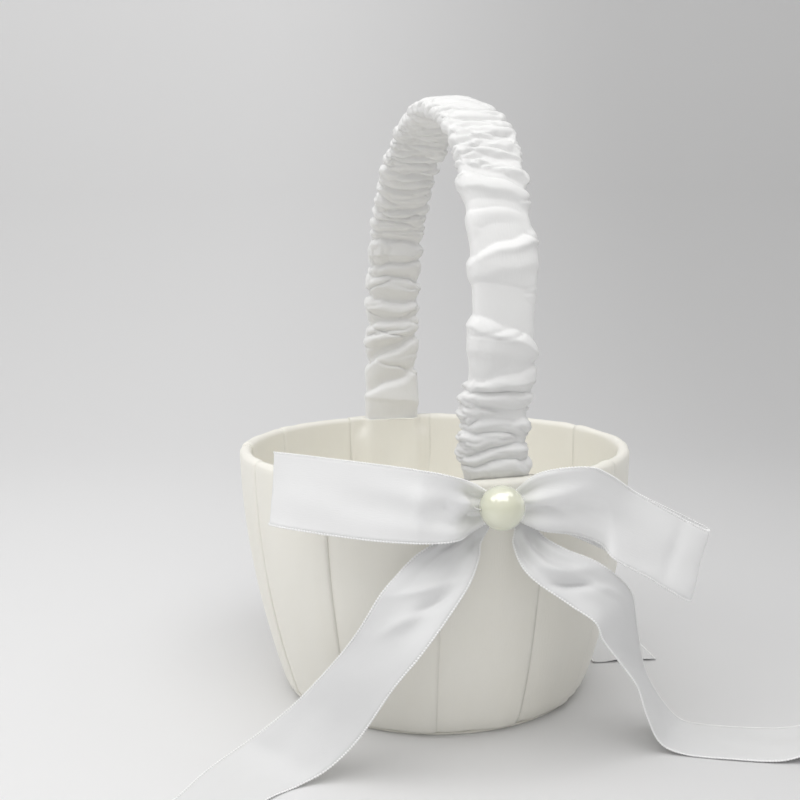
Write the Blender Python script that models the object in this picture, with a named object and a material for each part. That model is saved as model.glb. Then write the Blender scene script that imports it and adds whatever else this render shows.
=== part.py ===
"""Satin-covered flower girl basket: round tapered bucket, arched handle in a gathered sleeve, two bows.

Units are metres, +Z is up.  The origin is the centre of the base's underside, the handle stands in the
plane x = 0, the front bow faces -Y and the rear bow +Y.
"""

import math

import bmesh
import bpy
from mathutils import Vector

MM = 0.001

# Bucket, in millimetres
HEIGHT = 91.6
RIM_RADIUS = 73.0
KNEE_RADIUS = 57.0
KNEE_HEIGHT = 4.0
BASE_RADIUS = 56.0
SIDES = 36
PANELS = 12
PANEL_GAP_DEG = 0.24
SATIN = 0.5
GAP = 0.3
BOARD = 2.4
LIP = 2.0
WIRE_RADIUS = 1.2
DISC = 1.0
BASE_BOARD = 2.0
HEM_RADIUS = 44.0

# Handle
BAND_WIDTH = 18.0
BAND_THICK = 1.8
FOOT_LOW = 46.0
FOOT_TOP = 90.0
FOOT_SET = 1.3
COVER_BULGE_Z = 40.0
ARCH = [(-70.0, 107.0), (-74.0, 138.0), (-69.5, 171.0), (-53.0, 199.5), (-17.0, 214.0), (21.0, 204.0),
        (47.0, 182.0), (60.0, 156.0), (65.0, 127.0), (67.5, 105.0)]
SLEEVE_WIDTH = 24.0
SLEEVE_THICK = 7.0
SLEEVE_WALL = 0.7
STAPLE_HEIGHTS = (56.0, 74.0)
STAPLE_CROWN = 10.0
STAPLE_WIRE = 0.6

# Bows
RIBBON_THICK = 0.4
PINCH = 8.0
THREAD_RADIUS = 0.2
PEARL_RADIUS = 7.0
FRONT_KNOT_Z = 84.0
REAR_KNOT_Z = 80.0

# Each ribbon station is its top or left edge, then its bottom or right edge.
FRONT_LEFT_LOOP = [((-14, -80, 95), (-13, -80, 75)), ((-24, -79, 97.5), (-25, -78, 74)),
                   ((-43, -69.5, 99.5), (-44, -69, 76)), ((-64, -58.5, 101), (-66, -57, 78)),
                   ((-66.5, -55.5, 101), (-68.5, -53.5, 78)), ((-43, -66.5, 98.5), (-44, -66, 76.5)),
                   ((-25, -75.4, 96), (-26, -75.2, 76.5)), ((-12, -76.6, 93), (-12, -76.6, 79))]
FRONT_RIGHT_LOOP = [((9, -76.3, 91), (9, -76.3, 79)), ((16, -77.8, 93), (16, -77.8, 76.5)),
                    ((28, -78, 92), (26, -78.5, 72)), ((42, -75, 87), (36, -77, 67)),
                    ((60, -70, 78), (52, -73, 59)), ((77.5, -65.5, 69), (69, -69, 47)),
                    ((76, -68.5, 68.6), (67, -72, 47)), ((59, -74.7, 77.4), (50.3, -78, 58)),
                    ((41, -82, 87.3), (34, -84.5, 66.5)), ((28, -88, 94.5), (29, -88, 72)),
                    ((18, -90, 98), (20, -91, 75)), ((8, -83.5, 95), (10.5, -84.5, 77))]
REAR_LOOP = [((12, 76.2, 87), (12, 76.2, 73)), ((25, 74.8, 87.5), (25, 74.8, 66)),
             ((40, 68, 85), (39, 68, 61)), ((54, 59, 81), (52, 60, 57)),
             ((55.5, 62, 81), (53.5, 63, 57)), ((41, 72.5, 85.5), (40, 72.5, 61.5)),
             ((25, 80, 88), (25, 80, 65)), ((12, 80.5, 87.5), (12, 80.5, 72))]

FRONT_LEFT_TAIL = [((-9, -74.0, 83), (-4, -74.2, 77)), ((-18, -73.8, 75.5), (-7, -75, 72.5)),
                   ((-28, -74.6, 70), (-9, -79, 69)), ((-35, -75.6, 64), (-13.7, -84, 62.6)),
                   ((-40, -76, 58.6), (-22, -87.6, 53.5)), ((-46, -74, 48), (-31, -90, 44)),
                   ((-52, -69, 37.5), (-39, -87, 33)), ((-63, -61, 22), (-48, -79, 14.8)),
                   ((-74, -57, 11.5), (-57, -76, 5)), ((-82, -56, 6), (-66.5, -76, 0.8)),
                   ((-93, -63, 3), (-77, -81.5, 0.7)), ((-103.4, -73.8, 0.8), (-87, -92, 0.6)),
                   ((-114, -85.5, 0.7), (-97, -104, 0.7))]
FRONT_RIGHT_TAIL = [((9, -74.3, 83), (4.5, -74.6, 76.5)), ((12.5, -76.5, 74.5), (2.5, -79, 72)),
                    ((17, -85, 71.5), (3.7, -88, 65.5)), ((27, -89, 67), (14.5, -93.5, 57)),
                    ((38.8, -86.5, 56.8), (22, -97, 51.5)), ((44.5, -81, 42), (25.5, -95.5, 45)),
                    ((50.5, -73, 29), (33, -91, 36)), ((55.5, -68.5, 19), (41, -88.5, 25.5)),
                    ((61.5, -68, 9.5), (45.5, -87, 14.5)), ((68, -69.5, 2.5), (51, -86.5, 4)),
                    ((76, -72.5, 0.8), (58.5, -90, 0.7)), ((86, -77, 0.6), (70, -96, 0.6)),
                    ((97, -81.5, 0.8), (85, -102.5, 1)), ((107.4, -83.6, 1.5), (98, -106, 4.5)),
                    ((118, -86, 2), (110.5, -109, 3))]
REAR_RIGHT_TAIL = [((8, 74.4, 80), (4, 74.6, 73)), ((17, 75.5, 64), (3, 76.5, 60)),
                   ((27, 78, 48), (4, 81, 41)), ((38, 80, 28), (17, 87, 20)),
                   ((50, 78, 12), (36, 93, 3)), ((60, 70, 3.5), (62, 91, 0.7)),
                   ((66, 52, 1), (85, 68, 0.7)), ((69, 30, 0.8), (93, 38, 0.7)),
                   ((66, 8, 0.7), (91, 9, 0.7)), ((63.5, -10, 0.7), (88.5, -14, 0.7))]
REAR_LEFT_TAIL = [((-8, 74.4, 80), (-4, 74.6, 73)), ((-20, 76, 64), (-3, 76.5, 59)),
                  ((-32, 78, 44), (-8, 80.5, 38)), ((-37, 81, 22), (-14, 88, 18)),
                  ((-36, 90, 6), (-15, 99, 2)), ((-24, 110, 0.8), (-8, 92, 0.7)),
                  ((-4, 118, 0.7), (0, 93.5, 0.7)), ((16, 118, 0.7), (14, 93.5, 0.7)),
                  ((34, 113, 0.7), (27, 96, 0.7))]

MATERIALS = {
    "board": ((0.62, 0.56, 0.45, 1), 0.85, 0.0),
    "ivory_satin": ((0.93, 0.91, 0.84, 1), 0.45, 0.0),
    "white_satin": ((0.93, 0.93, 0.92, 1), 0.4, 0.0),
    "ribbon": ((0.94, 0.94, 0.95, 1), 0.35, 0.0),
    "band_plastic": ((0.88, 0.87, 0.83, 1), 0.5, 0.0),
    "steel": ((0.6, 0.6, 0.6, 1), 0.35, 1.0),
    "thread": ((0.92, 0.92, 0.92, 1), 0.7, 0.0),
    "pearl": ((0.92, 0.91, 0.78, 1), 0.12, 0.0),
}


def clear_scene():
    for thing in list(bpy.data.objects):
        bpy.data.objects.remove(thing, do_unlink=True)


def material(slot):
    """The Principled material of one finish, made once."""
    found = bpy.data.materials.get(slot)
    if found:
        return found
    colour, roughness, metallic = MATERIALS[slot]
    made = bpy.data.materials.new(slot)
    made.use_nodes = True
    shader = made.node_tree.nodes["Principled BSDF"]
    shader.inputs["Base Color"].default_value = colour
    shader.inputs["Roughness"].default_value = roughness
    shader.inputs["Metallic"].default_value = metallic
    return made


def add_object(name, slot, bm):
    """Turn a bmesh in millimetres into a named object in metres, shaded smooth with its normals out."""
    bmesh.ops.scale(bm, vec=(MM, MM, MM), verts=bm.verts)
    bmesh.ops.recalc_face_normals(bm, faces=bm.faces)
    mesh = bpy.data.meshes.new(name)
    bm.to_mesh(mesh)
    bm.free()
    mesh.shade_smooth()
    mesh.set_sharp_from_angle(angle=math.radians(35))
    made = bpy.data.objects.new(name, mesh)
    made.data.materials.append(material(slot))
    bpy.context.scene.collection.objects.link(made)
    return made


def loft(name, slot, rings, wrap=False):
    """One closed body through rings of points: capped at both ends, or joined last to first."""
    bm = bmesh.new()
    rows = [[bm.verts.new(point) for point in ring] for ring in rings]
    count = len(rows[0])
    pairs = list(zip(rows, rows[1:]))
    if wrap:
        pairs.append((rows[-1], rows[0]))
    else:
        bm.faces.new(rows[0])
        bm.faces.new(rows[-1])
    for low, high in pairs:
        for i in range(count):
            k = (i + 1) % count
            bm.faces.new((low[i], low[k], high[k], high[i]))
    return add_object(name, slot, bm)


def smooth(points, steps):
    """Points on a Catmull-Rom curve through the given ones."""
    spaced = [Vector(p) for p in points]
    spaced = [2 * spaced[0] - spaced[1]] + spaced + [2 * spaced[-1] - spaced[-2]]
    out = []
    for a, b, c, d in zip(spaced, spaced[1:], spaced[2:], spaced[3:]):
        for k in range(steps):
            t = k / steps
            out.append(0.5 * ((2 * b) + (c - a) * t + (2 * a - 5 * b + 4 * c - d) * t * t
                              + (3 * b - a - 3 * c + d) * t ** 3))
    out.append(spaced[-2])
    return out


# ---------------------------------------------------------------- bucket

def wall_radius(z):
    """Outer radius of the finished wall: a parabola that is upright at the rim."""
    rise = max(0.0, 1.0 - z / HEIGHT)
    return RIM_RADIUS - (RIM_RADIUS - KNEE_RADIUS) * rise ** 2


def wall_path(inset, low, high, count=6):
    """(radius, height) points up the wall, inset from its outer face."""
    return [(wall_radius(z) - inset, z) for z in (low + (high - low) * k / (count - 1) for k in range(count))]


def at_angle(section, degrees):
    """Place a (radius, height) section at an angle measured from -Y towards +X."""
    turn = math.radians(degrees)
    return [Vector((r * math.sin(turn), -r * math.cos(turn), z)) for r, z in section]


def revolve(name, slot, section):
    """A full turn of the section, with its corners on the same angles as the panels'."""
    rings = [at_angle(section, 360 * (k + 0.5) / SIDES) for k in range(SIDES)]
    return loft(name, slot, rings, wrap=True)


def sector(name, slot, section, middle, bulge=(0.0, 0.0, 0.0, 0.0)):
    """One strip of cover between two seams; bulge draws its four rings inwards over the handle's foot."""
    half = 180 / PANELS
    step = 360 / SIDES
    angles = [middle - half + step * k for k in range(SIDES // PANELS + 1)]
    angles[0] += PANEL_GAP_DEG / 2
    angles[-1] -= PANEL_GAP_DEG / 2
    rings = []
    for angle, shift in zip(angles, bulge):
        rings.append(at_angle([(r - shift if z > COVER_BULGE_Z else r, z) for r, z in section], angle))
    return loft(name, slot, rings)


def lip_arc(radius, start=0, end=180, count=5):
    """Rounded rim over the wire, from the outer face over to the inner one."""
    centre_r = RIM_RADIUS - LIP
    centre_z = HEIGHT - LIP
    out = []
    for k in range(count):
        turn = math.radians(start + (end - start) * k / (count - 1))
        out.append((centre_r + radius * math.cos(turn), centre_z + radius * math.sin(turn)))
    return out


def hem_path(inset):
    """Underside hem and the rounded bottom corner, up to the knee of the wall."""
    floor = DISC + GAP + inset
    corner = BASE_RADIUS + 1.0 - inset
    return [(HEM_RADIUS, floor), (corner - 1.5, floor), (corner + 1.1, floor + 1.0)]


WALL_TOP = HEIGHT - LIP - WIRE_RADIUS - GAP
BASE_TOP = DISC + 2 * GAP + SATIN + BASE_BOARD
LINING_LOW = BASE_TOP + GAP
KNEE_Z = KNEE_HEIGHT + DISC
WALL_LOW = KNEE_Z - 1.5


def outer_face(inset):
    return hem_path(inset) + wall_path(inset, KNEE_Z, HEIGHT - LIP - 1.0)


def inner_face(inset):
    return wall_path(inset, HEIGHT - LIP - 1.0, LINING_LOW, 5)


def build_bucket():
    low = DISC + 2 * GAP + SATIN
    board = wall_path(SATIN + GAP, KNEE_Z + GAP, WALL_TOP)
    board_in = wall_path(SATIN + GAP + BOARD, WALL_LOW, WALL_TOP)
    corner = [(BASE_RADIUS + 1.2, WALL_LOW)]
    revolve("core_wall", "board", corner + board + board_in[::-1])
    disc("core_base", "board", BASE_RADIUS - 1.8, low, low + BASE_BOARD, BASE_RADIUS - 2.5)
    disc("underside_disc", "ivory_satin", BASE_RADIUS - 0.5, 0.0, DISC)
    lining_radius = wall_radius(LINING_LOW) - 2 * LIP - GAP
    disc("lining_disc", "ivory_satin", lining_radius - 0.6, LINING_LOW, LINING_LOW + DISC)
    rim_wire()
    build_panels()


def disc(name, slot, radius, low, high, low_radius=None):
    """Flat disc between two heights, with a narrower underside where low_radius is given."""
    bm = bmesh.new()
    bmesh.ops.create_cone(bm, cap_ends=True, segments=SIDES, radius1=low_radius or radius, radius2=radius,
                          depth=high - low)
    bmesh.ops.translate(bm, vec=(0, 0, (low + high) / 2), verts=bm.verts)
    return add_object(name, slot, bm)


def rim_wire():
    section = []
    for k in range(8):
        turn = math.radians(45 * k)
        section.append((RIM_RADIUS - LIP + WIRE_RADIUS * math.cos(turn),
                        HEIGHT - LIP + WIRE_RADIUS * math.sin(turn)))
    revolve("rim_wire", "steel", section)


def build_panels():
    """Twelve satin strips; the two at the handle stop at the lip, where a lining strip covers the foot."""
    outside = outer_face(0.0) + lip_arc(LIP) + inner_face(2 * LIP)
    inside = outer_face(SATIN) + lip_arc(LIP - SATIN) + inner_face(2 * LIP - SATIN)
    short_out = outer_face(0.0) + lip_arc(LIP, 0, 120, 4)
    short_in = outer_face(SATIN) + lip_arc(LIP - SATIN, 0, 120, 4)
    for k in range(PANELS):
        name = f"panel_{k + 1:02d}"
        if k % (PANELS // 2) == 0:
            sector(name, "ivory_satin", short_out + short_in[::-1], 360 * k / PANELS)
        else:
            sector(name, "ivory_satin", outside + inside[::-1], 360 * k / PANELS)
    bulge = BAND_THICK + GAP + STAPLE_WIRE + FOOT_SET
    cover = inner_face(2 * LIP + GAP) + inner_face(2 * LIP - SATIN + GAP)[::-1]
    for name, middle in (("foot_cover_front", 0), ("foot_cover_rear", 180)):
        sector(name, "ivory_satin", cover, middle, (0.0, bulge, bulge, 0.0))


# ---------------------------------------------------------------- handle

def foot_y(z):
    """Distance of the foot's centre from the axis: the flat foot touches the round board at its edges."""
    return wall_radius(z) - SATIN - 2 * GAP - BOARD - BAND_THICK / 2 - FOOT_SET


def handle_line():
    """(y, z) centre line of the band from the front foot over the arch to the rear foot."""
    heights = (FOOT_LOW, 60.0, 74.0, FOOT_TOP)
    front = [(-foot_y(z), z) for z in heights]
    rear = [(foot_y(z), z) for z in reversed(heights)]
    route = front + ARCH + rear
    return smooth([(0, y, z) for y, z in route], 4)


def frames_along(line):
    """Each point of the line with the unit normal in the arch's plane, pointing out of the arch."""
    for i, point in enumerate(line):
        ahead = line[min(i + 1, len(line) - 1)] - line[max(i - 1, 0)]
        yield point, Vector((0, -ahead.z, ahead.y)).normalized()


def build_handle():
    line = handle_line()
    half = BAND_WIDTH / 2
    rings = []
    for point, out in frames_along(line):
        lift = out * BAND_THICK / 2
        side = Vector((half, 0, 0))
        rings.append([point - side - lift, point + side - lift, point + side + lift, point - side + lift])
    band = loft("handle_band", "band_plastic", rings)
    free = [pair for pair in frames_along(line) if pair[0].z > HEIGHT + 1.2]
    build_sleeve(free)
    holes = build_staples()
    for piece in (band, bpy.data.objects["core_wall"]):
        cut = piece.modifiers.new("staple_holes", "BOOLEAN")
        cut.operation = "DIFFERENCE"
        cut.solver = "EXACT"
        cut.object = holes


def build_sleeve(free):
    """Gathered satin tube: an outer and an inner rounded section, joined at its two ends."""
    count = 16
    rings = []
    for k in range(count):
        turn = 2 * math.pi * (k + 0.5) / count
        across = math.copysign(abs(math.cos(turn)) ** 0.5, math.cos(turn))
        deep = math.copysign(abs(math.sin(turn)) ** 0.5, math.sin(turn))
        outer = [p + Vector((across * SLEEVE_WIDTH / 2, 0, 0)) + n * deep * SLEEVE_THICK / 2 for p, n in free]
        inner = [p + Vector((across * (SLEEVE_WIDTH / 2 - SLEEVE_WALL), 0, 0))
                 + n * deep * (SLEEVE_THICK / 2 - SLEEVE_WALL) for p, n in free]
        rings.append(outer + inner[::-1])
    return loft("handle_sleeve", "white_satin", rings, wrap=True)


def build_staples():
    """Two staples a foot, and the cutter that makes the holes for their legs."""
    holes = bmesh.new()
    for side, end in ((-1, "front"), (1, "rear")):
        for k, z in enumerate(STAPLE_HEIGHTS):
            inside = side * (foot_y(z) - BAND_THICK / 2 - GAP)
            staple(f"staple_{end}_{k + 1}", inside, side, z)
            for x in (-STAPLE_CROWN / 2, STAPLE_CROWN / 2):
                shape = bmesh.ops.create_cube(holes, size=1.0)["verts"]
                bmesh.ops.scale(holes, vec=(1.4, 9.0, 1.4), verts=shape)
                bmesh.ops.translate(holes, vec=(x, inside + side * 3.0, z), verts=shape)
    cutter = add_object("staple_holes", "steel", holes)
    cutter.hide_render = True
    cutter.display_type = "WIRE"
    return cutter


def staple(name, inside, side, z):
    """U of square wire: the crown lies on the foot, the legs run out through the board."""
    far = STAPLE_CROWN / 2 + STAPLE_WIRE / 2
    near = STAPLE_CROWN / 2 - STAPLE_WIRE / 2
    crown = inside - side * STAPLE_WIRE
    tip = side * (wall_radius(z) - SATIN - GAP - 0.4)
    outline = [(-far, tip), (-far, crown), (far, crown), (far, tip),
               (near, tip), (near, inside), (-near, inside), (-near, tip)]
    half = STAPLE_WIRE / 2
    rings = [[Vector((x, y, z + up)) for x, y in outline] for up in (-half, half)]
    return loft(name, "steel", rings)


# ---------------------------------------------------------------- bows

def ribbon(name, stations, wrap=False, steps=3):
    """A thin strip through stations, each given by the ribbon's two edges."""
    count = len(stations)
    left = smooth([s[0] for s in stations], steps)
    right = smooth([s[1] for s in stations], steps)
    if wrap:
        left = smooth([s[0] for s in stations[-2:] + stations + stations[:2]], steps)
        right = smooth([s[1] for s in stations[-2:] + stations + stations[:2]], steps)
        left = left[2 * steps:(2 + count) * steps]
        right = right[2 * steps:(2 + count) * steps]
    last = len(left) - 1
    rings = []
    for i, (a, b) in enumerate(zip(left, right)):
        before = (i - 1) % len(left) if wrap else max(i - 1, 0)
        after = (i + 1) % len(left) if wrap else min(i + 1, last)
        run = left[after] + right[after] - left[before] - right[before]
        lift = run.cross(b - a).normalized() * RIBBON_THICK / 2
        rings.append([a + lift, b + lift, b - lift, a - lift])
    return loft(name, "ribbon", rings, wrap=wrap)


def pinch(x, y, z):
    """Station where the ribbon is gathered to the width of the binding."""
    return ((x, y, z + PINCH / 2), (x, y, z - PINCH / 2))


def thread(name, side, z):
    """Binding thread: a flat ring round the gathered ribbons at x = 0."""
    near = 73.35
    far = 76.45
    middle = side * (near + far) / 2
    rings = []
    for k in range(16):
        turn = 2 * math.pi * k / 16
        wide = math.copysign(abs(math.cos(turn)) ** 0.6, math.cos(turn))
        tall = math.copysign(abs(math.sin(turn)) ** 0.6, math.sin(turn))
        centre = Vector((0, middle + wide * (far - near) / 2, z + tall * (PINCH / 2 + 1.4)))
        out = Vector((0, wide, tall)).normalized() * THREAD_RADIUS
        side_way = Vector((THREAD_RADIUS, 0, 0))
        rings.append([centre - out, centre + side_way, centre + out, centre - side_way])
    return loft(name, "thread", rings, wrap=True)


def pearl(name, centre):
    bm = bmesh.new()
    bmesh.ops.create_uvsphere(bm, u_segments=20, v_segments=12, radius=PEARL_RADIUS)
    bmesh.ops.translate(bm, vec=centre, verts=bm.verts)
    return add_object(name, "pearl", bm)


def mirrored(stations):
    """The same stations on the other side of the arch, walked the other way."""
    return [tuple((-x, y, z) for x, y, z in station) for station in reversed(stations)]


def build_bows():
    tails_y = 74.25
    back_y = 75.0
    front_y = 75.7
    z = FRONT_KNOT_Z
    loops = ([pinch(-3, -front_y, z)] + FRONT_LEFT_LOOP + [pinch(-3, -back_y, z), pinch(3, -back_y, z)]
             + FRONT_RIGHT_LOOP + [pinch(3, -front_y, z)])
    ribbon("front_bow_loops", loops, wrap=True)
    tails = FRONT_LEFT_TAIL[::-1] + [pinch(-2, -tails_y, z), pinch(2, -tails_y, z)] + FRONT_RIGHT_TAIL
    ribbon("front_bow_tails", tails)
    thread("front_bow_thread", -1, z)
    pearl("front_pearl", (-3.1, -83.7, z + 1.6))
    z = REAR_KNOT_Z
    loops = ([pinch(3, back_y, z)] + REAR_LOOP + [pinch(3, front_y, z), pinch(-3, front_y, z)]
             + mirrored(REAR_LOOP) + [pinch(-3, back_y, z)])
    ribbon("rear_bow_loops", loops, wrap=True)
    tails = REAR_LEFT_TAIL[::-1] + [pinch(-2, tails_y, z), pinch(2, tails_y, z)] + REAR_RIGHT_TAIL
    ribbon("rear_bow_tails", tails)
    thread("rear_bow_thread", 1, z)
    pearl("rear_pearl", (0.0, 83.7, z + 0.5))


clear_scene()
build_bucket()
build_handle()
build_bows()
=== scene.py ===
"""Looks of the satin-covered flower girl basket: tapered bucket, gathered handle and two ribbon bows.

Sizes are in millimetres and become metres where a mesh is made.  Angles round the bucket run from -Y, where
the front bow is, towards +X.
"""

import math
import random

import bmesh
import bpy
from mathutils import Matrix, Vector, noise


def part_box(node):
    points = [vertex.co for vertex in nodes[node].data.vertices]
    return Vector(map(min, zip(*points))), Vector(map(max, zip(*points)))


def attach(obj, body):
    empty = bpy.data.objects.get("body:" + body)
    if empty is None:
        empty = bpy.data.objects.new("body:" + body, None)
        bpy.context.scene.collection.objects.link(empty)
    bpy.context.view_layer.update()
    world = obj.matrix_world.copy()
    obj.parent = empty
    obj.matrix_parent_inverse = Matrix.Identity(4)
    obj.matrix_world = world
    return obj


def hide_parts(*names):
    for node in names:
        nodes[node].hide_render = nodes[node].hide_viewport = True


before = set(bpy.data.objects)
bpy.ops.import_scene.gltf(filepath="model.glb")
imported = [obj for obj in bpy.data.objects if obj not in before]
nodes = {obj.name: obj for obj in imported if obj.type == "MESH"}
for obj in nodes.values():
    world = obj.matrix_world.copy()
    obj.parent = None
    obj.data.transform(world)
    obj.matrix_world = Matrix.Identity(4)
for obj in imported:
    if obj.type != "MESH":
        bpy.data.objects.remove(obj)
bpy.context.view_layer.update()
MM = 0.001


# ---------------------------------------------------------------- studio: camera, floor and lamps
# A pale paper sweep that runs up behind the basket, three soft lamps overhead, and a fill from all round.
# The camera stands to the left of the front bow, a little above the rim.

CAMERA_PLACE = (-111.4, -374.8, 161.2)
CAMERA_TURN = -14.71
CAMERA_TILT = 7.77
CAMERA_ROLL = -0.5
SENSOR = 36.0
LENS = 46.75

camera = bpy.data.objects.new("camera", bpy.data.cameras.new("camera"))
camera.data.sensor_width = SENSOR
camera.data.lens = LENS
camera.data.clip_start = 0.01
camera.matrix_world = (Matrix.Translation(Vector(CAMERA_PLACE) * MM)
                       @ Matrix.Rotation(math.radians(CAMERA_TURN), 4, "Z")
                       @ Matrix.Rotation(math.radians(90 - CAMERA_TILT), 4, "X")
                       @ Matrix.Rotation(math.radians(CAMERA_ROLL), 4, "Z"))
bpy.context.scene.collection.objects.link(camera)
bpy.context.scene.camera = camera
bpy.context.scene.view_settings.view_transform = "Standard"


def soft_lamp(name, direction, distance, size, power):
    """Area lamp that faces the middle of the basket from a direction, in metres and watts."""
    lamp = bpy.data.objects.new(name, bpy.data.lights.new(name, "AREA"))
    lamp.data.shape = "RECTANGLE"
    lamp.data.size, lamp.data.size_y = size
    lamp.data.energy = power
    aim = Vector(direction).normalized()
    lamp.location = Vector((0, 0, 0.1)) + aim * distance
    lamp.rotation_mode = "QUATERNION"
    lamp.rotation_quaternion = aim.to_track_quat("Z", "Y")
    bpy.context.scene.collection.objects.link(lamp)


soft_lamp("lamp_left", (-0.66, -0.10, 0.74), 0.90, (0.46, 0.40), 0.9)
soft_lamp("lamp_right", (0.50, -0.12, 0.86), 0.90, (0.40, 0.36), 0.5)
soft_lamp("lamp_top", (-0.10, -0.38, 0.90), 1.00, (0.95, 0.85), 4.3)


def ramp(tree_nodes, low, high, to_low, to_high):
    """Map Range node from low..high to to_low..to_high."""
    made = tree_nodes.new("ShaderNodeMapRange")
    for label, value in (("From Min", low), ("From Max", high), ("To Min", to_low), ("To Max", to_high)):
        made.inputs[label].default_value = value
    return made


def wire(links, giver, gives, taker, takes):
    """Link an output of one shader node to an input of another."""
    links.new(giver.outputs[gives], taker.inputs[takes])


# The fill is stronger from above and from the left.
world = bpy.data.worlds.new("studio")
world.use_nodes = True
fill = world.node_tree
fill.nodes["Background"].inputs["Color"].default_value = (1.0, 0.995, 0.985, 1)
way = fill.nodes.new("ShaderNodeTexCoord")
axes = fill.nodes.new("ShaderNodeSeparateXYZ")
from_left = ramp(fill.nodes, -1.0, 1.0, 0.69, 0.41)
wire(fill.links, way, "Generated", axes, "Vector")
from_above = ramp(fill.nodes, 0.0, 1.0, 0.80, 1.40)
total = fill.nodes.new("ShaderNodeMath")
total.operation = "MULTIPLY"
wire(fill.links, axes, "X", from_left, "Value")
wire(fill.links, axes, "Z", from_above, "Value")
wire(fill.links, from_left, "Result", total, 0)
wire(fill.links, from_above, "Result", total, 1)
fill.links.new(total.outputs["Value"], fill.nodes["Background"].inputs["Strength"])
bpy.context.scene.world = world


def new_material(name):
    """Empty Principled material: gives the material, its nodes, its links and its shader."""
    made = bpy.data.materials.new(name)
    made.use_nodes = True
    tree = made.node_tree
    return made, tree.nodes, tree.links, tree.nodes["Principled BSDF"]


def mesh_object(name, points, faces, material):
    """Smooth mesh of points in metres, linked to the scene, with its material if it has one."""
    mesh = bpy.data.meshes.new(name)
    mesh.from_pydata(points, [], faces)
    mesh.shade_smooth()
    if material:
        mesh.materials.append(material)
    made = bpy.data.objects.new(name, mesh)
    bpy.context.scene.collection.objects.link(made)
    return made


# Pale paper, with painted light in its colour: painted shade makes it darker to the right, and painted light
# makes it lighter towards the top.
paper, parts, links, shader = new_material("sweep_paper")
grain = parts.new("ShaderNodeTexNoise")
grain.inputs["Scale"].default_value = 3.0
shade = parts.new("ShaderNodeMix")
shade.data_type = "RGBA"
shade.inputs["A"].default_value = (0.78, 0.78, 0.785, 1)
shade.inputs["B"].default_value = (0.81, 0.81, 0.815, 1)
place = parts.new("ShaderNodeTexCoord")
axes = parts.new("ShaderNodeSeparateXYZ")
# Painted shade towards the right and painted light towards the top, multiplied into the paper's colour.
painted_shade_right = ramp(parts, -0.25, 0.38, 1.03, 0.77)
painted_shade_right.interpolation_type = "SMOOTHSTEP"
painted_light_top = ramp(parts, 0.25, 0.75, 1.0, 1.22)
both = parts.new("ShaderNodeMath")
both.operation = "MULTIPLY"
toned = parts.new("ShaderNodeVectorMath")
toned.operation = "SCALE"
wire(links, place, "Object", axes, "Vector")
wire(links, axes, "X", painted_shade_right, "Value")
wire(links, axes, "Z", painted_light_top, "Value")
wire(links, painted_shade_right, "Result", both, 0)
wire(links, painted_light_top, "Result", both, 1)
wire(links, grain, "Fac", shade, "Factor")
wire(links, shade, "Result", toned, 0)
wire(links, both, "Value", toned, "Scale")
wire(links, toned, "Vector", shader, "Base Color")
shader.inputs["Roughness"].default_value = 0.65

SWEEP_FRONT = -6.0
SWEEP_BEND = 0.45
SWEEP_RADIUS = 0.9
SWEEP_TOP = 2.6
SWEEP_HALF_WIDTH = 6.0
profile = [(SWEEP_FRONT, 0.0)]
for k in range(17):
    turn = math.radians(90 * k / 16)
    profile.append((SWEEP_BEND + SWEEP_RADIUS * math.sin(turn), SWEEP_RADIUS * (1 - math.cos(turn))))
profile.append((SWEEP_BEND + SWEEP_RADIUS, SWEEP_TOP))
corners = [(x, y, z) for y, z in profile for x in (-SWEEP_HALF_WIDTH, SWEEP_HALF_WIDTH)]
faces = [(2 * k, 2 * k + 1, 2 * k + 3, 2 * k + 2) for k in range(len(profile) - 1)]
sweep = mesh_object("sweep", corners, faces, paper)
sweep.rotation_euler = (0, 0, math.radians(CAMERA_TURN))


# ---------------------------------------------------------------- pressed board core
# The wall and the base are grey-brown pressed board, bent and stapled into a tapered tub.
# Satin covers them all over.

def new_group(name, takes, gives):
    """Shader node group with named inputs (name, kind, value) and outputs (name, kind)."""
    group = bpy.data.node_groups.new(name, "ShaderNodeTree")
    for label, kind, value in takes:
        socket = group.interface.new_socket(label, in_out="INPUT", socket_type=kind)
        if value is not None:
            socket.default_value = value
    for label, kind in gives:
        group.interface.new_socket(label, in_out="OUTPUT", socket_type=kind)
    return group, group.nodes.new("NodeGroupInput"), group.nodes.new("NodeGroupOutput")


# Two tones that drift into each other, as in uneven dye or pulp.
drift, drift_in, drift_out = new_group(
    "tone_drift",
    [("Place", "NodeSocketVector", None), ("Size", "NodeSocketFloat", 40.0),
     ("Light", "NodeSocketColor", (1, 1, 1, 1)), ("Deep", "NodeSocketColor", (0.8, 0.8, 0.8, 1))],
    [("Colour", "NodeSocketColor"), ("Mask", "NodeSocketFloat")])
patches = drift.nodes.new("ShaderNodeTexNoise")
patches.inputs["Detail"].default_value = 4.0
blend = drift.nodes.new("ShaderNodeMix")
blend.data_type = "RGBA"
wire(drift.links, drift_in, "Place", patches, "Vector")
wire(drift.links, drift_in, "Size", patches, "Scale")
wire(drift.links, patches, "Fac", blend, "Factor")
wire(drift.links, drift_in, "Light", blend, "A")
wire(drift.links, drift_in, "Deep", blend, "B")
wire(drift.links, blend, "Result", drift_out, "Colour")
wire(drift.links, patches, "Fac", drift_out, "Mask")


def add_group(parts, group, **values):
    """Place a node group in a material and set its unlinked inputs."""
    placed = parts.new("ShaderNodeGroup")
    placed.node_tree = group
    for label, value in values.items():
        placed.inputs[label].default_value = value
    return placed


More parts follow.
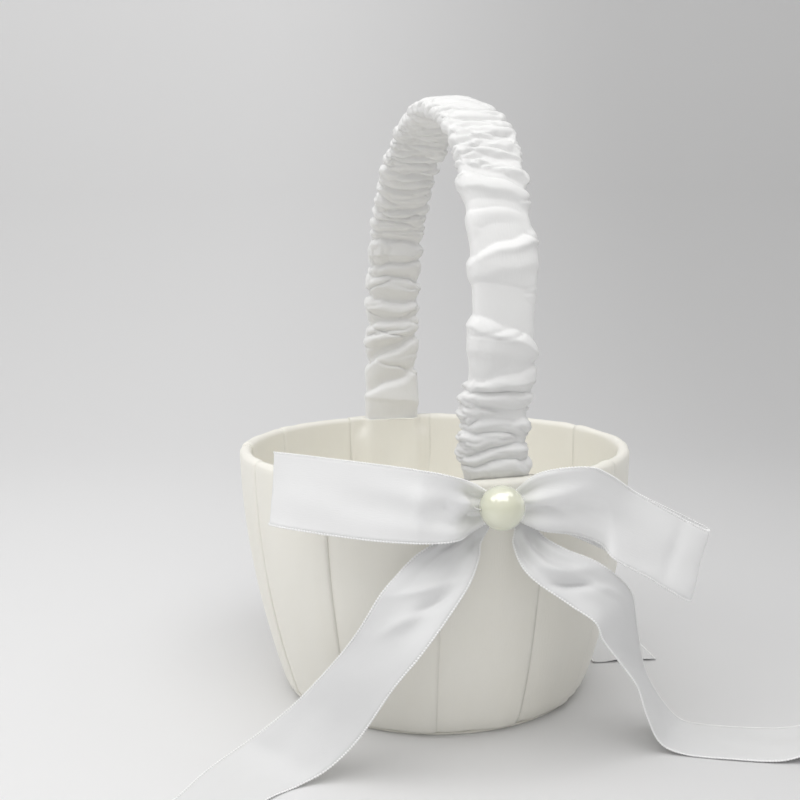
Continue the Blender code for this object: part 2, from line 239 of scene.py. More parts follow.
def grained(name, size, light, deep, grain, strength, distance, roughness, kind="ShaderNodeTexNoise"):
    """Material with two drifting tones and a fine relief.  Distance is the depth of the relief in metres."""
    made, parts, links, shader = new_material(name)
    place = parts.new("ShaderNodeTexCoord")
    tone = add_group(parts, drift, Size=size, Light=(*light, 1), Deep=(*deep, 1))
    relief = parts.new(kind)
    relief.inputs["Scale"].default_value = grain
    bump = parts.new("ShaderNodeBump")
    bump.inputs["Strength"].default_value = strength
    bump.inputs["Distance"].default_value = distance
    wire(links, place, "Object", tone, "Place")
    wire(links, place, "Object", relief, "Vector")
    wire(links, tone, "Colour", shader, "Base Color")
    wire(links, relief, "Fac", bump, "Height")
    wire(links, bump, "Normal", shader, "Normal")
    shader.inputs["Roughness"].default_value = roughness
    return made, parts, links, shader, tone


def refinish(node, material):
    """Give a CAD node that stays its finished material."""
    nodes[node].data.materials.clear()
    nodes[node].data.materials.append(material)


board = grained("pressed_board", 260.0, (0.60, 0.52, 0.40), (0.42, 0.35, 0.26), 1800.0, 0.4, 0.0002, 0.85)[0]
refinish("core_wall", board)
refinish("core_base", board)


# ---------------------------------------------------------------- rim wire and staples
# A ring of drawn steel wire keeps the mouth round.  Four wire staples hold the handle's feet to the board.

steel, _, _, shader, _ = grained(
    "drawn_steel", 500.0, (0.62, 0.62, 0.61), (0.44, 0.44, 0.45), 3500.0, 0.25, 0.00005, 0.38)
shader.inputs["Metallic"].default_value = 1.0

refinish("rim_wire", steel)
for side in ("front", "rear"):
    for number in (1, 2):
        refinish(f"staple_{side}_{number}", steel)


# ---------------------------------------------------------------- handle band
# A flat strip of white moulded plastic, bent into the arch, with its two feet stapled inside the wall.

band = grained("band_plastic", 120.0, (0.86, 0.85, 0.82), (0.80, 0.79, 0.75), 2200.0, 0.2, 0.00005, 0.5)[0]
refinish("handle_band", band)


# ---------------------------------------------------------------- twelve satin strips
# Each strip of ivory satin is glued under the base and pulled up the outside, over the wire and down inside.
# One long edge is turned in and laps over the next strip, so a soft step runs up the wall at every seam.

RIM_RADIUS = 73.0
KNEE_RADIUS = 57.0
HEIGHT = 91.6
LIP = 2.0
HEM_RADIUS = 44.0
HEM_HEIGHT = 1.45
STRIPS = 12
STRIP_TURN = 360 / STRIPS
LAP_UNDER = 3.2
LAP_OVER = 0.6
TURN_IN = 7.0
LAP_RISE = 0.22
HEM_RISE = 0.12
EDGE_DROP = 0.36
UNDER_DROP = 0.26
SEAM_WANDER = 0.9
STRIP_ACROSS = 26
CLOTH = 0.35

# Threads of a satin weave: long floats along the cloth, with a fine broken rib across it.
weave, weave_in, weave_out = new_group(
    "satin_weave",
    [("Cloth", "NodeSocketVector", None), ("Threads", "NodeSocketFloat", 3.5),
     ("Slub", "NodeSocketFloat", 0.3)],
    [("Height", "NodeSocketFloat"), ("Streak", "NodeSocketFloat")])
stretch = weave.nodes.new("ShaderNodeVectorMath")
stretch.operation = "MULTIPLY"
stretch.inputs[1].default_value = (1.0, 0.12, 0.0)
floats = weave.nodes.new("ShaderNodeTexNoise")
floats.inputs["Detail"].default_value = 2.0
slubs = weave.nodes.new("ShaderNodeTexNoise")
slubs.inputs["Scale"].default_value = 0.5
slubs.inputs["Detail"].default_value = 3.0
mixed = weave.nodes.new("ShaderNodeMath")
mixed.operation = "MULTIPLY_ADD"
wire(weave.links, weave_in, "Cloth", stretch, 0)
wire(weave.links, stretch, "Vector", floats, "Vector")
wire(weave.links, weave_in, "Threads", floats, "Scale")
wire(weave.links, stretch, "Vector", slubs, "Vector")
wire(weave.links, slubs, "Fac", mixed, 0)
wire(weave.links, weave_in, "Slub", mixed, 1)
wire(weave.links, floats, "Fac", mixed, 2)
wire(weave.links, mixed, "Value", weave_out, "Height")
wire(weave.links, slubs, "Fac", weave_out, "Streak")


def satin(name, light, deep, rough_low, rough_high, threads, relief):
    """Satin: two close tones, a gloss that runs in streaks with the threads, and the relief of the weave."""
    made, parts, links, shader = new_material(name)
    cloth = parts.new("ShaderNodeAttribute")
    cloth.attribute_name = "cloth"
    place = parts.new("ShaderNodeTexCoord")
    tone = add_group(parts, drift, Size=45.0, Light=(*light, 1), Deep=(*deep, 1))
    threads_of = add_group(parts, weave, Threads=threads, Slub=0.35)
    gloss = ramp(parts, 0.0, 1.0, rough_low, rough_high)
    bump = parts.new("ShaderNodeBump")
    bump.inputs["Strength"].default_value = relief
    bump.inputs["Distance"].default_value = 0.00012
    wire(links, place, "Object", tone, "Place")
    wire(links, tone, "Colour", shader, "Base Color")
    wire(links, cloth, "Vector", threads_of, "Cloth")
    wire(links, threads_of, "Streak", gloss, "Value")
    wire(links, gloss, "Result", shader, "Roughness")
    wire(links, threads_of, "Height", bump, "Height")
    wire(links, bump, "Normal", shader, "Normal")
    shader.inputs["Specular IOR Level"].default_value = 0.38
    shader.inputs["Sheen Weight"].default_value = 0.12
    shader.inputs["Sheen Roughness"].default_value = 0.4
    return made


ivory = satin("ivory_satin", (0.925, 0.912, 0.855), (0.90, 0.878, 0.80), 0.48, 0.64, 2.2, 0.5)


def grid_faces(height, width, around, along):
    """Quads of a grid of points, closed across its columns if around, across its rows if along."""
    columns = [(i, (i + 1) % width) for i in range(width if around else width - 1)]
    steps = [(j, (j + 1) % height) for j in range(height if along else height - 1)]
    return [(a * width + i, a * width + k, b * width + k, b * width + i)
            for a, b in steps for i, k in columns]


def cloth_piece(name, rows, flat_rows, material, thick, around=False, along=False):
    """Mesh through rows of points in millimetres with their places on the flat cloth, thickened evenly."""
    points = [point * MM for row in rows for point in row]
    made = mesh_object(name, points, grid_faces(len(rows), len(rows[0]), around, along), material)
    spread = made.data.attributes.new("cloth", "FLOAT_VECTOR", "POINT")
    spread.data.foreach_set("vector", [x for row in flat_rows for place in row for x in place])
    if thick:
        body = made.modifiers.new("cloth", "SOLIDIFY")
        body.thickness = thick * MM
        body.offset = 0.0
    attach(made, "root")
    return made


def wall_radius(z):
    """Outer radius of the finished wall: a parabola that is upright at the rim."""
    rise = max(0.0, 1.0 - z / HEIGHT)
    return RIM_RADIUS - (RIM_RADIUS - KNEE_RADIUS) * rise ** 2


def smooth_step(low, high, value):
    """Eased share of the way from low to high, from 0 to 1."""
    share = min(1.0, max(0.0, (value - low) / (high - low)))
    return share * share * (3 - 2 * share)


def evenly(points, step):
    """Points about one step apart on a line of (radius, height), each with its distance along the line."""
    out = [(0.0, Vector(points[0]))]
    done = 0.0
    for a, b in zip(points, points[1:]):
        a, b = Vector(a), Vector(b)
        parts_here = max(1, round((b - a).length / step))
        for k in range(1, parts_here + 1):
            out.append((done + (b - a).length * k / parts_here, a.lerp(b, k / parts_here)))
        done += (b - a).length
    return out


def strip_line(inside):
    """Line of a strip from the hem under the base, up the wall, over the lip and, if inside, down again."""
    line = [(HEM_RADIUS, HEM_HEIGHT), (55.6, HEM_HEIGHT)]
    line += [(55.6 + 1.6 * math.sin(t), HEM_HEIGHT + 2.0 - 2.0 * math.cos(t)) for t in (0.5, 1.0, 1.4)]
    line += [(wall_radius(z) - 0.15, z) for z in [5 + 83.4 * k / 24 for k in range(25)]]
    last = 180 if inside else 150
    for k in range(1, 13):
        turn = math.radians(last * k / 12)
        line.append((RIM_RADIUS - LIP + (LIP - 0.1) * math.cos(turn),
                     HEIGHT - LIP + (LIP - 0.1) * math.sin(turn)))
    if inside:
        line += [(wall_radius(z) - 2 * LIP + 0.1, z) for z in [88 - 82.4 * k / 24 for k in range(25)]]
    return evenly(line, 1.6)


def strip_rows(number, line, seam_low, seam_high):
    """Rows of one strip.  Its low edge lies under the strip before it, its high edge laps over the next."""
    rows, flat_rows = [], []
    outward = [(b[1] - a[1]).normalized() for a, b in zip(line, line[1:])]
    outward.append(outward[-1])
    for (distance, spot), way in zip(line, outward):
        out = Vector((way.y, -way.x))
        wander_low, wander_high = (SEAM_WANDER * noise.noise(Vector((seam * 7.3, distance * 0.018, 0.0)))
                                   for seam in (number, number + 1))
        low = seam_low - LAP_UNDER + wander_low
        high = seam_high + LAP_OVER + wander_high
        row, flat = [], []
        for i in range(STRIP_ACROSS + 1):
            share = i / STRIP_ACROSS
            angle = low + (high - low) * share
            from_low = (angle - low) * math.radians(1) * spot.x
            from_high = (high - angle) * math.radians(1) * spot.x
            lift = LAP_RISE * smooth_step(12.0, 4.5, from_high)
            lift += HEM_RISE * smooth_step(TURN_IN + 1.2, TURN_IN - 1.0, from_high)
            lift -= EDGE_DROP * smooth_step(2.0, 0.0, from_high)
            lift -= UNDER_DROP * smooth_step(9.0, 3.5, from_low)
            pull = noise.noise(Vector((angle * 0.10, distance * 0.012, number * 3.1)))
            fine = noise.noise(Vector((angle * 0.35, distance * 0.05, number * 5.7)))
            calm = smooth_step(0.0, 8.0, from_low) * smooth_step(0.0, 8.0, from_high)
            lift += (0.45 * pull + 0.12 * fine) * calm
            radius = spot.x + out.x * lift
            height = max(spot.y + out.y * lift, HEM_HEIGHT - 0.1)
            turn = math.radians(angle)
            row.append(Vector((radius * math.sin(turn), -radius * math.cos(turn), height)))
            flat.append((share * 42.0 + number * 50.0, distance, 0.0))
        rows.append(row)
        flat_rows.append(flat)
    return rows, flat_rows


SEAM_SHIFT = [-1.0, -2.5, -3.5, -1.0, 0.5, -1.5, 1.0, -2.0, 1.5, 0.0, 0.0, -0.5]
for k in range(STRIPS):
    middle = STRIP_TURN * k
    seam_low = middle - STRIP_TURN / 2 + SEAM_SHIFT[k]
    seam_high = middle + STRIP_TURN / 2 + SEAM_SHIFT[(k + 1) % STRIPS]
    whole = k % (STRIPS // 2) != 0
    rows, flat_rows = strip_rows(k, strip_line(whole), seam_low, seam_high)
    strip = cloth_piece(f"satin_strip_{k + 1:02d}", rows, flat_rows, ivory, CLOTH)
    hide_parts(f"panel_{k + 1:02d}")


# ---------------------------------------------------------------- lining strips over the handle's feet
# Inside, one strip on each side covers the stapled foot.  It starts at the lip and stands out over the foot.

FOOT_HALF_TURN = 15.5
FOOT_ACROSS = 30
FOOT_SWELL = 4.2
UNDER_LIP = 68.75
for side, middle, band_side in (("front", 0.0, 1.0), ("rear", 180.0, -0.6)):
    inner = [(wall_radius(z) - 2 * LIP - 0.25, z) for z in [90.4 - 84.8 * k / 24 for k in range(25)]]
    line = evenly([(70.9, 91.85), (69.7, 91.6), (69.0, 91.1)] + inner, 1.2)
    rows, flat_rows = [], []
    for distance, spot in line:
        row, flat = [], []
        for i in range(FOOT_ACROSS + 1):
            share = i / FOOT_ACROSS
            angle = middle - FOOT_HALF_TURN + 2 * FOOT_HALF_TURN * share
            aside = abs(angle - middle - band_side)
            swell_end = 14.5 - 3.5 * smooth_step(82.0, 89.0, spot.y)
            swell = FOOT_SWELL * smooth_step(swell_end, 9.0, aside) * smooth_step(38.0, 46.0, spot.y)
            ripple = 0.25 * noise.noise(Vector((angle * 0.2, distance * 0.05, middle + 2.0)))
            at_band = smooth_step(10.6, 9.4, aside)
            over_lip = max(0.0, spot.x - UNDER_LIP) * at_band
            radius = spot.x - over_lip - swell - ripple
            turn = math.radians(angle)
            height = spot.y - 0.6 * at_band * over_lip
            row.append(Vector((radius * math.sin(turn), -radius * math.cos(turn), height)))
            flat.append((share * 40.0, distance, 0.0))
        rows.append(row)
        flat_rows.append(flat)
    cover = cloth_piece(f"foot_lining_{side}", rows, flat_rows, ivory, CLOTH)
    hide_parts(f"foot_cover_{side}")


# ---------------------------------------------------------------- satin discs inside and underneath
# Card discs wrapped in the same satin.  One covers the inside floor and presses against the wall.  The other
# closes the underside and carries the basket.

DISC_SIDES = 96


def wrapped_disc(name, node, radius, low, high):
    """Disc with a rounded rim and faint pulls in the cloth, its two middles closed by a face."""
    half = (high - low) / 2
    section = [(radius * s, high) for s in (0.02, 0.25, 0.5, 0.75, 0.9)]
    section += [(radius - half + half * math.sin(t), (low + high) / 2 + half * math.cos(t))
                for t in (0.0, 0.52, 1.05, 1.57, 2.09, 2.62, 3.14)]
    section += [(radius * s, low) for s in (0.9, 0.75, 0.5, 0.25, 0.02)]
    rows, flat_rows = [], []
    for reach, height in section:
        row, flat = [], []
        for i in range(DISC_SIDES):
            turn = 2 * math.pi * i / DISC_SIDES
            pull = 0.12 * smooth_step(0.55, 0.95, reach / radius)
            pull *= abs(noise.noise(Vector((turn * 7.0, 0.0, high))))
            level = height - pull if height > (low + high) / 2 else height + pull
            row.append(Vector((reach * math.sin(turn), -reach * math.cos(turn), level)))
            flat.append((reach * math.sin(turn), reach * math.cos(turn), 0.0))
        rows.append(row)
        flat_rows.append(flat)
    made = cloth_piece(name, rows[::-1], flat_rows[::-1], ivory, 0.0, around=True)
    shell = bmesh.new()
    shell.from_mesh(made.data)
    corners = list(shell.verts)
    shell.faces.new(corners[DISC_SIDES - 1::-1])
    shell.faces.new(corners[-DISC_SIDES:])
    bmesh.ops.recalc_face_normals(shell, faces=shell.faces)
    shell.to_mesh(made.data)
    shell.free()
    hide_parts(node)


LINING_PRESS = 0.95
lining_low, lining_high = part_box("lining_disc")
base_low, base_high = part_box("underside_disc")
wrapped_disc("lining_floor", "lining_disc", lining_high.x / MM + LINING_PRESS,
             lining_low.z / MM, lining_high.z / MM)
wrapped_disc("underside_floor", "underside_disc", base_high.x / MM, base_low.z / MM, base_high.z / MM)


# ---------------------------------------------------------------- gathered handle sleeve
# A tube of white satin, longer than the arch, pushed together on the band.  It is tight at the top of the
# arch and at both ends, and hangs loose in long slanting folds on the front leg.

white = satin("white_satin", (0.88, 0.88, 0.875), (0.85, 0.85, 0.845), 0.36, 0.52, 2.6, 0.4)

ARCH = [(-66.6, 84.0), (-67.2, 92.4), (-70.0, 107.0), (-74.0, 138.0), (-69.5, 171.0), (-53.0, 199.5),
        (-17.0, 213.0), (21.0, 203.3), (47.0, 182.0), (60.0, 156.0), (65.0, 127.0), (67.5, 105.0),
        (67.2, 92.4), (66.6, 84.0)]
SLEEVE_FLAT = (0.056, 0.42)
SLEEVE_STEP = 0.5
SLEEVE_SIDES = 80
SLEEVE_TUCK = 20
SLEEVE_CLOTH = 0.25
SLEEVE_EASE = 0.9
SLEEVE_CORNERS = 0.72
CURVE_STEPS = 40


def on_curve(points, steps):
    """Points on a Catmull-Rom curve through the given ones."""
    spaced = [Vector(p) for p in points]
    spaced = [2 * spaced[0] - spaced[1]] + spaced + [2 * spaced[-1] - spaced[-2]]
    out = []
    for a, b, c, d in zip(spaced, spaced[1:], spaced[2:], spaced[3:]):
        for k in range(steps):
            t = k / steps
            out.append(0.5 * ((2 * b) + (c - a) * t + (2 * a - 5 * b + 4 * c - d) * t * t
                              + (3 * b - a - 3 * c + d) * t ** 3))
    out.append(spaced[-2])
    return out


def between(table, value):
    """Smooth value of a list of (place, value) pairs at a place."""
    if value <= table[0][0]:
        return table[0][1]
    for (a, low), (b, high) in zip(table, table[1:]):
        if value <= b:
            return low + (high - low) * smooth_step(a, b, value)
    return table[-1][1]


arch = on_curve([(0.0, y, z) for y, z in ARCH], CURVE_STEPS)[SLEEVE_TUCK:-SLEEVE_TUCK]
reach = [0.0]
for a, b in zip(arch, arch[1:]):
    reach.append(reach[-1] + (b - a).length)
SLEEVE_LONG = reach[-1]

# Half width, half depth and sideways place of the sleeve along the arch, from the front end to the rear end.
HALF_WIDTH = [(0, 9.9), (4, 10.0), (10, 11.6), (31, 11.7), (38, 10.1), (90, 9.8), (100, 10.5),
              (230, 11.2), (300, 10.9), (SLEEVE_LONG, 10.9)]
HALF_DEPTH = [(0, 1.3), (2.5, 1.4), (8, 4.0), (33, 4.0), (39, 3.4), (88, 3.4), (98, 3.3), (140, 3.0),
              (235, 3.2), (SLEEVE_LONG - 10, 3.0), (SLEEVE_LONG - 3, 1.4), (SLEEVE_LONG, 1.3)]
SIDE_PLACE = [(0, 1.2), (5, 1.2), (14, -1.0), (30, -1.0), (40, 0.7), (90, 0.6), (104, 0.5),
              (SLEEVE_LONG - 60, 0.5), (SLEEVE_LONG - 40, 0.7), (SLEEVE_LONG, 0.7)]
LEAST_WIDTH = 9.6
LEAST_DEPTH = 1.5

# Creases laid on the front leg and the rear leg: place along the arch, slant, bow, depth, width, and
# the side where it is deepest, in degrees round the section (90 is the outer face).  A hill has a negative
# depth.  The rear leg's places are counted back from the rear end.
CREASES = [
    (9.5, 1.0, 0.8, 2.2, 1.2, 90), (14.8, 1.6, -0.6, 3.0, 1.2, 60), (19.0, -1.2, 0.5, 2.8, 1.1, 150),
    (23.2, 1.2, 0.6, 3.2, 1.2, 90), (28.0, -1.0, -0.6, 2.6, 1.1, 40), (32.0, -0.6, 0.8, 3.0, 1.1, 120),
    (35.0, 1.0, 0.0, -1.3, 1.8, 140), (38.5, 2.4, 0.4, 2.6, 2.0, 80), (45.0, -2.0, 0.0, -0.9, 4.5, 100),
    (54.5, -4.6, 1.0, 4.4, 5.2, 100), (48.5, -5.0, 0.5, -1.3, 2.0, 90), (70.0, 2.0, 0.0, -1.2, 4.5, 110),
    (79.5, 4.4, -0.8, 2.2, 4.4, 130), (75.5, 3.4, 0.0, -1.5, 2.6, 30), (88.0, -1.0, 1.2, 1.6, 3.0, 150),
    (93.5, -3.2, 0.4, -1.1, 2.6, 80), (98.0, -3.6, 0.8, 4.6, 1.3, 90), (101.0, -3.4, 0.8, -1.2, 1.4, 90),
]
REAR_CREASES = [
    (12.0, 2.0, 0.0, -1.0, 3.5, 270), (20.0, -5.0, 0.8, 2.4, 2.8, 270), (34.0, -6.0, 0.8, 3.4, 2.4, 270),
    (40.0, -3.0, 0.0, -1.2, 3.0, 270), (46.5, -1.8, 1.0, 3.0, 1.9, 250), (52.0, 1.0, 0.0, -1.0, 2.2, 270),
    (56.5, 1.0, -0.8, 3.2, 1.6, 270), (61.0, 1.0, 0.0, -0.9, 2.0, 270), (65.0, 1.6, 0.8, 2.8, 1.5, 300),
    (72.0, -1.2, 0.8, 3.0, 1.5, 250), (76.5, 0.0, 0.0, -1.2, 2.0, 270), (82.0, 1.0, 1.2, 3.6, 1.6, 270),
]
for place_back, slant, bow, deep, wide, side in REAR_CREASES:
    CREASES.append((SLEEVE_LONG - place_back, slant, bow, deep, wide, side))

# The tight stretch over the top has a crease every few millimetres, each with its own slant and depth.
GATHER_FROM = 101.5
GATHER_TO = SLEEVE_LONG - 85.0
dice = random.Random(11)
here = GATHER_FROM
while here < GATHER_TO:
    CREASES.append((here, dice.uniform(-2.4, 2.4), dice.uniform(-1.0, 1.0), dice.uniform(2.2, 3.2),
                    dice.uniform(0.8, 1.2), dice.uniform(0, 360)))
    here += dice.uniform(2.4, 4.6)

# Fine, short creases between the others: (from, to, how many).
FINE_WIDTH = 0.7
FINE_CREASES = [(6, 34, 26), (GATHER_FROM, GATHER_TO, 90), (GATHER_TO, SLEEVE_LONG - 20, 24), (40, 95, 8)]
for low, high, many in FINE_CREASES:
    for k in range(many):
        CREASES.append((dice.uniform(low, high), dice.uniform(-4.5, 4.5), dice.uniform(-2.0, 2.0),
                        dice.uniform(0.7, 1.5), dice.uniform(0.42, FINE_WIDTH), dice.uniform(0, 360)))

# How much longer the cut cloth is than the arch that it sits on.
CLOTH_TO_ARCH = [(0, 1.25), (30, 1.35), (38, 1.12), (92, 1.12), (100, 1.45), (235, 1.45), (262, 1.22),
                 (SLEEVE_LONG - 20, 1.12), (SLEEVE_LONG, 1.1)]

# The short simulation: the band inside, the share of its folds that is kept along the arch, and the cloth.
# It runs ten times larger than life, grows the cloth a little and keeps each ring of it where it was.
BAND_SECTION = [(-9.0, -0.9), (0.0, -1.0), (9.0, -0.9), (9.1, 0.0),
                (9.0, 0.9), (0.0, 1.0), (-9.0, 0.9), (-9.1, 0.0)]
CORE_STRIDE = 4
FOLD_SHARE = [(0, 0.35), (33, 0.35), (42, 0.1), (94, 0.1), (105, 0.85), (190, 0.85), (225, 0.5),
              (SLEEVE_LONG - 60, 0.35), (SLEEVE_LONG - 30, 0.1), (SLEEVE_LONG, 0.1)]
SIM_SCALE = 0.01
SIM_FRAMES = 14
SIM_REACH = 2.0
SIM_RINGS = 12
SIM_GIRTH = 0.6
SIM_CLOTH = {
    "shrink_min": -0.09, "vertex_group_mass": "held", "quality": 6, "mass": 0.05, "air_damping": 4.0,
    "tension_stiffness": 60.0, "compression_stiffness": 60.0, "shear_stiffness": 3.0,
    "bending_stiffness": 0.08, "tension_damping": 8.0, "compression_damping": 8.0, "bending_damping": 1.0,
}


def sim_tube(name, rows):
    """Tube through rows of points, for the simulation only."""
    points = [point * SIM_SCALE for row in rows for point in row]
    return mesh_object(name, points, grid_faces(len(rows), len(rows[0]), True, False), None)


def buckled(rows, core):
    """Let the pushed-together tube fold by itself round the band, from its creased start shape."""
    tube = sim_tube("sleeve_cloth", rows)
    held = tube.vertex_groups.new(name="held")
    width = len(rows[0])
    total = width * len(rows)
    held.add(list(range(width * 3)) + list(range(total - width * 3, total)), 1.0, "REPLACE")
    band_core = sim_tube("band_core", core)
    band_core.data.flip_normals()
    band_core.modifiers.new("collision", "COLLISION")
    band_core.collision.thickness_outer = 0.002
    cloth = tube.modifiers.new("cloth", "CLOTH")
    for label, value in SIM_CLOTH.items():
        setattr(cloth.settings, label, value)
    cloth.settings.effector_weights.gravity = 0.0
    cloth.collision_settings.distance_min = 0.003
    cloth.point_cache.frame_start = 1
    cloth.point_cache.frame_end = SIM_FRAMES
    for step in range(1, SIM_FRAMES + 1):
        bpy.context.scene.frame_set(step)
    settled = tube.evaluated_get(bpy.context.evaluated_depsgraph_get()).data.vertices
    moves = [[settled[j * width + i].co / SIM_SCALE - start for i, start in enumerate(row)]
             for j, row in enumerate(rows)]
    slides = [sum(row, Vector()) / width for row in moves]
    out = []
    for j, row in enumerate(rows):
        nearby = slides[max(0, j - SIM_RINGS):j + SIM_RINGS + 1]
        slide = sum(nearby, Vector()) / len(nearby)
        share = between(FOLD_SHARE, SLEEVE_LONG * j / (len(rows) - 1))
        middle = sum(row, Vector()) / width
        outwards = [(start - middle).normalized() for start in row]
        grown = sum((move - slide).dot(out_here) for move, out_here in zip(moves[j], outwards)) / width
        new_row = []
        for start, move, out_here in zip(row, moves[j], outwards):
            turned = move - slide - out_here * grown * SIM_GIRTH
            new_row.append(start + turned * share * min(1.0, SIM_REACH / max(turned.length, 0.001)))
        out.append(new_row)
    bpy.data.objects.remove(tube)
    bpy.data.objects.remove(band_core)
    bpy.context.scene.frame_set(1)
    return out


BROAD_WIDTH = 2.1


def crease_depth(s, turn, creases, rise):
    """How far the cloth is drawn in at a place on the sleeve.

    A valley has a steep ledge below it and a long overhang above it.  Rise is the upward part of the arch's
    direction there.
    """
    depth = 0.0
    for place, slant, bow, deep, wide, side in creases:
        wobble = noise.noise(Vector((math.cos(turn) * 1.6 + place, math.sin(turn) * 1.6, place * 0.7)))
        valley = place + slant * math.cos(turn) + bow * math.sin(turn) + 1.3 * wobble
        facing = 0.5 + 0.5 * math.cos(turn - math.radians(side))
        share = facing ** 3 if wide <= FINE_WIDTH else 0.24 + 0.76 * facing
        off = (s - valley) / wide
        lean = 1.25 - 0.65 * rise * (1 if off > 0 else -1)
        depth += deep * share * math.exp(-abs(off * lean) ** (1.15 if wide < BROAD_WIDTH else 1.7))
    return depth


def tube_point(s, turn, proud):
    """(sideways, outward) place on the sleeve's section, proud of the plain tube by some millimetres."""
    across = math.copysign(abs(math.cos(turn)) ** SLEEVE_CORNERS, math.cos(turn))
    out = math.copysign(abs(math.sin(turn)) ** SLEEVE_CORNERS, math.sin(turn))
    return (across * between(HALF_WIDTH, s) + proud * math.cos(turn),
            out * between(HALF_DEPTH, s) + proud * math.sin(turn))


sleeve_rows, sleeve_flat, core_rows = [], [], []
count = round(SLEEVE_LONG / SLEEVE_STEP)
spot = 0
cut_long = 0.0
for j in range(count + 1):
    s = SLEEVE_LONG * j / count
    while spot < len(reach) - 2 and reach[spot + 1] < s:
        spot += 1
    centre = arch[spot].lerp(arch[spot + 1], (s - reach[spot]) / (reach[spot + 1] - reach[spot]))
    ahead = (arch[min(spot + 2, len(arch) - 1)] - arch[max(spot - 1, 0)]).normalized()
    outward = Vector((0, -ahead.z, ahead.y))
    shift = Vector((between(SIDE_PLACE, s), 0, 0))
    near = [crease for crease in CREASES if abs(s - crease[0]) < 6 * crease[4] + 8]
    cut_long += SLEEVE_LONG / count * between(CLOTH_TO_ARCH, s)
    row, flat = [], []
    for i in range(SLEEVE_SIDES):
        turn = 2 * math.pi * i / SLEEVE_SIDES
        swell = 0.4 * noise.noise(Vector((math.cos(turn) * 0.9, math.sin(turn) * 0.9 + 4.0, s * 0.07)))
        proud = swell + SLEEVE_EASE - crease_depth(s, turn, near, ahead.z)
        proud = max(proud, LEAST_DEPTH - between(HALF_DEPTH, s), LEAST_WIDTH - between(HALF_WIDTH, s))
        sideways, out = tube_point(s, turn, proud)
        row.append(centre + shift + Vector((sideways, 0, 0)) + outward * out)
        flat.append((SLEEVE_FLAT[0] / MM * i / SLEEVE_SIDES, cut_long, 0.0))
    sleeve_rows.append(row)
    sleeve_flat.append(flat)
    if j % CORE_STRIDE == 0:
        core_rows.append([centre + Vector((x, 0, 0)) + outward * y for x, y in BAND_SECTION])
sleeve_rows = buckled(sleeve_rows, core_rows)
sleeve = cloth_piece("gathered_sleeve", sleeve_rows, sleeve_flat, white, SLEEVE_CLOTH,
                     around=True)
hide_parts("handle_sleeve")


# ---------------------------------------------------------------- bow ribbons
# Two 25 mm satin ribbons to a bow: one is folded into the two loops, the other hangs behind as the tails.
# Both are pleated together at the knot and bound there.  Woven picot stitches run along both edges.

ribbon_satin = satin("ribbon_satin", (0.91, 0.912, 0.915), (0.89, 0.892, 0.895), 0.40, 0.56, 3.0, 0.35)
# Painted shade: the tails' satin is the loops' satin painted darker, for how the light falls on the hanging
# tails.
shaded_tail_satin = satin("shaded_tail_satin", (0.76, 0.762, 0.765), (0.73, 0.733, 0.737), 0.40, 0.56, 3.0, 0.35)

edging = grained(
    "picot_edging", 300.0, (0.97, 0.97, 0.97), (0.94, 0.94, 0.94), 2600.0, 0.4, 0.00006, 0.55)[0]

RIBBON = 0.22
RIBBON_WIDE = 25.0
ACROSS = 20
PINCH = 8.0
FRONT_KNOT_Z = 84.0
REAR_KNOT_Z = 80.0
TAILS_Y, BACK_Y, FRONT_Y = 74.25, 75.0, 75.7
STITCH = 0.95

# Each station is the ribbon's top or left edge, then its bottom or right edge.
FRONT_LEFT_LOOP = [((-11, -79, 92.5), (-11, -77.5, 77)), ((-19, -86.5, 96.5), (-18.5, -84.5, 76.5)),
                   ((-28, -83.5, 98.5), (-28.5, -82, 76)), ((-43, -71.5, 99.5), (-44, -73, 76)),
                   ((-64, -57.5, 101), (-66, -60, 78)),
                   ((-66.5, -55.5, 101), (-68.5, -53.5, 78)), ((-43, -66.5, 98.5), (-44, -66, 76.5)),
                   ((-25, -75.4, 96), (-26, -75.2, 76.5)), ((-12, -76.6, 93), (-12, -76.6, 79))]
FRONT_RIGHT_LOOP = [((9, -76.3, 91), (9, -76.3, 79)), ((16, -77.8, 93), (16, -77.8, 76.5)),
                    ((28, -78, 92), (26, -78.5, 72)), ((42, -75, 87), (36, -77, 67)),
                    ((59, -72, 78.5), (50, -77, 60)), ((73.8, -71.5, 70.8), (63.7, -78, 50.4)),
                    ((72.3, -74.5, 70.4), (60.7, -83, 50.4)), ((57.2, -77.7, 78.5), (44.2, -88, 60.9)),
                    ((42, -82, 87.2), (31.5, -90.5, 68.4)), ((29, -91, 95.2), (29, -85.5, 72.2)),
                    ((19.8, -94, 98.8), (22.4, -82.5, 74.8)), ((8.5, -85.5, 96), (10.5, -81.5, 77))]
REAR_LOOP = [((12, 76.2, 87), (12, 76.2, 73)), ((25, 74.8, 87.5), (25, 74.8, 66)),
             ((40, 68, 85), (39, 68, 61)), ((54, 59, 81), (52, 60, 57)),
             ((55.5, 62, 81), (53.5, 63, 57)), ((41, 72.5, 85.5), (40, 72.5, 61.5)),
             ((25, 80, 88), (25, 80, 65)), ((12, 80.5, 87.5), (12, 80.5, 72))]
